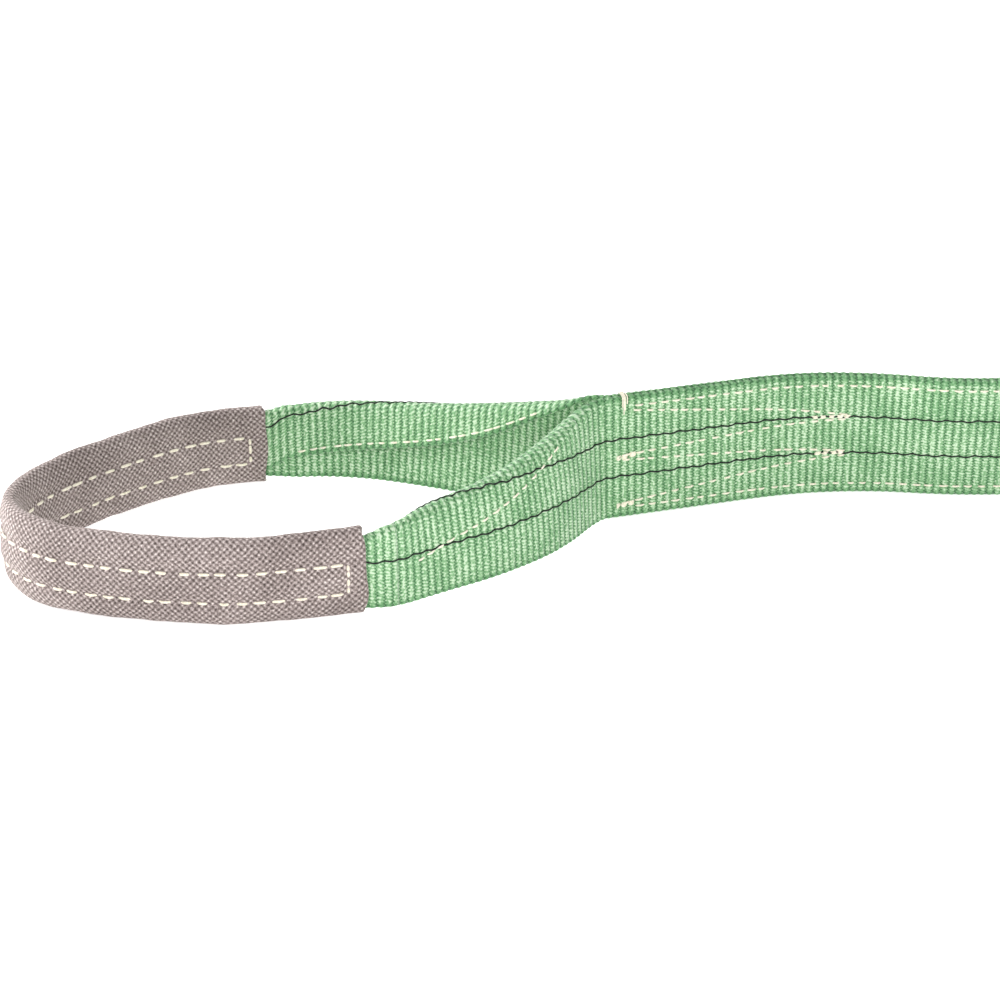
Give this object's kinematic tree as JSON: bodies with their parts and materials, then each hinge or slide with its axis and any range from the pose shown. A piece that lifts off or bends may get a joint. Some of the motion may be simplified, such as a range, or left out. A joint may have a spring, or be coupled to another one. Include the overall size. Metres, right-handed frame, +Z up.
{
  "type": "flat web sling",
  "caption": "Flat woven lifting sling of doubled polyester web, with a soft eye at each end that is folded through a woven sleeve.",
  "frame": {"origin": "centre of the bounding box's underside, on the floor that the web's lower edge stands on", "axes": "+X along the sling from eye a to eye b, +Y to the far side that carries the label, +Z up across the web's width"},
  "size_m": [0.8914, 0.1992, 0.0605],
  "materials": {
    "web": "woven green polyester, slightly sheeny, ribbed across its width",
    "tracer_yarn": "black polyester yarn woven in as a load stripe",
    "sleeve": "warm grey plain-woven polyester tube, matt",
    "sewing_thread": "twisted cream polyester sewing thread",
    "label": "blank blue woven polyester label"
  },
  "bodies": {
    "strap_a": {"web_near_ply_a": "web", "web_far_ply_a": "web", "body_tracer_yarns_a": "tracer_yarn", "edge_seams_a": "sewing_thread", "splice_stitching_a": "sewing_thread", "crotch_tack_a": "sewing_thread", "label_tab": "label", "label_seam": "sewing_thread"},
    "strap_b": {"web_near_ply_b": "web", "web_far_ply_b": "web", "body_tracer_yarns_b": "tracer_yarn", "edge_seams_b": "sewing_thread", "splice_stitching_b": "sewing_thread", "crotch_tack_b": "sewing_thread"},
    "label": {"label_flap": "label"},
    "eye_root_a": {"near_root_web_a": "web", "far_root_web_a": "web", "root_tracer_yarns_a": "tracer_yarn"},
    "near_leg_a": {"near_leg_web_a": "web", "near_leg_tracer_yarns_a": "tracer_yarn", "near_flap_seam_a": "sewing_thread"},
    "near_crown_a": {"near_crown_web_a": "web", "near_sleeve_a": "sleeve", "near_sleeve_seams_a": "sewing_thread"},
    "far_crown_a": {"far_crown_web_a": "web", "far_sleeve_a": "sleeve", "far_sleeve_seams_a": "sewing_thread"},
    "far_leg_a": {"far_leg_web_a": "web", "far_leg_tracer_yarns_a": "tracer_yarn", "far_flap_seam_a": "sewing_thread"},
    "eye_root_b": {"near_root_web_b": "web", "far_root_web_b": "web", "root_tracer_yarns_b": "tracer_yarn"},
    "near_leg_b": {"near_leg_web_b": "web", "near_leg_tracer_yarns_b": "tracer_yarn", "near_flap_seam_b": "sewing_thread"},
    "near_crown_b": {"near_crown_web_b": "web", "near_sleeve_b": "sleeve", "near_sleeve_seams_b": "sewing_thread"},
    "far_crown_b": {"far_crown_web_b": "web", "far_sleeve_b": "sleeve", "far_sleeve_seams_b": "sewing_thread"},
    "far_leg_b": {"far_leg_web_b": "web", "far_leg_tracer_yarns_b": "tracer_yarn", "far_flap_seam_b": "sewing_thread"}
  },
  "joints": [
    {"name": "middle_bend", "type": "hinge", "parent": "strap_a", "child": "strap_b", "pos_m": [-0.00431, 0.0343, 0], "axis": [0, 0, 1], "range_deg": [-12, 12]},
    {"name": "label_swing", "type": "hinge", "parent": "strap_a", "child": "label", "pos_m": [-0.04795, 0.04272, 0.03], "axis": [0, 0, 1], "range_deg": [0, 150]},
    {"name": "eye_swing_a", "type": "hinge", "parent": "strap_a", "child": "eye_root_a", "pos_m": [-0.16795, 0.00869, 0], "axis": [0, 0, 1], "range_deg": [-20, 20]},
    {"name": "eye_open_a", "type": "hinge", "parent": "eye_root_a", "child": "near_leg_a", "pos_m": [-0.19555, -0.02613, 0], "axis": [0, 0, 1], "range_deg": [-8, 6]},
    {"name": "near_mouth_bend_a", "type": "hinge", "parent": "near_leg_a", "child": "near_crown_a", "pos_m": [-0.28364, -0.08248, 0], "axis": [0, 0, 1], "range_deg": [-12, 16]},
    {"name": "crown_bend_a", "type": "hinge", "parent": "near_crown_a", "child": "far_crown_a", "pos_m": [-0.44004, -0.04431, 0], "axis": [0, 0, 1], "range_deg": [-13, 10]},
    {"name": "far_leg_swing_a", "type": "hinge", "parent": "eye_root_a", "child": "far_leg_a", "pos_m": [-0.21014, 0.02233, 0], "axis": [0, 0, 1], "range_deg": [-6, 8]},
    {"name": "eye_swing_b", "type": "hinge", "parent": "strap_b", "child": "eye_root_b", "pos_m": [0.16282, 0.02454, 0], "axis": [0, 0, -1], "range_deg": [-20, 20]},
    {"name": "eye_open_b", "type": "hinge", "parent": "eye_root_b", "child": "near_leg_b", "pos_m": [0.19559, -0.00546, 0], "axis": [0, 0, -1], "range_deg": [-8, 6]},
    {"name": "near_mouth_bend_b", "type": "hinge", "parent": "near_leg_b", "child": "near_crown_b", "pos_m": [0.29152, -0.04712, 0], "axis": [0, 0, -1], "range_deg": [-12, 16]},
    {"name": "crown_bend_b", "type": "hinge", "parent": "near_crown_b", "child": "far_crown_b", "pos_m": [0.43987, 0.01539, 0], "axis": [0, 0, -1], "range_deg": [-13, 10]},
    {"name": "far_leg_swing_b", "type": "hinge", "parent": "eye_root_b", "child": "far_leg_b", "pos_m": [0.20231, 0.0447, 0], "axis": [0, 0, -1], "range_deg": [-6, 8]}
  ],
  "couplings": [
    {"joint": "near_mouth_bend_a", "follows": "eye_open_a", "ratio": -1.925},
    {"joint": "crown_bend_a", "follows": "eye_open_a", "ratio": 1.555},
    {"joint": "far_leg_swing_a", "follows": "eye_open_a", "ratio": -1},
    {"joint": "near_mouth_bend_b", "follows": "eye_open_b", "ratio": -1.925},
    {"joint": "crown_bend_b", "follows": "eye_open_b", "ratio": 1.555},
    {"joint": "far_leg_swing_b", "follows": "eye_open_b", "ratio": -1}
  ]
}
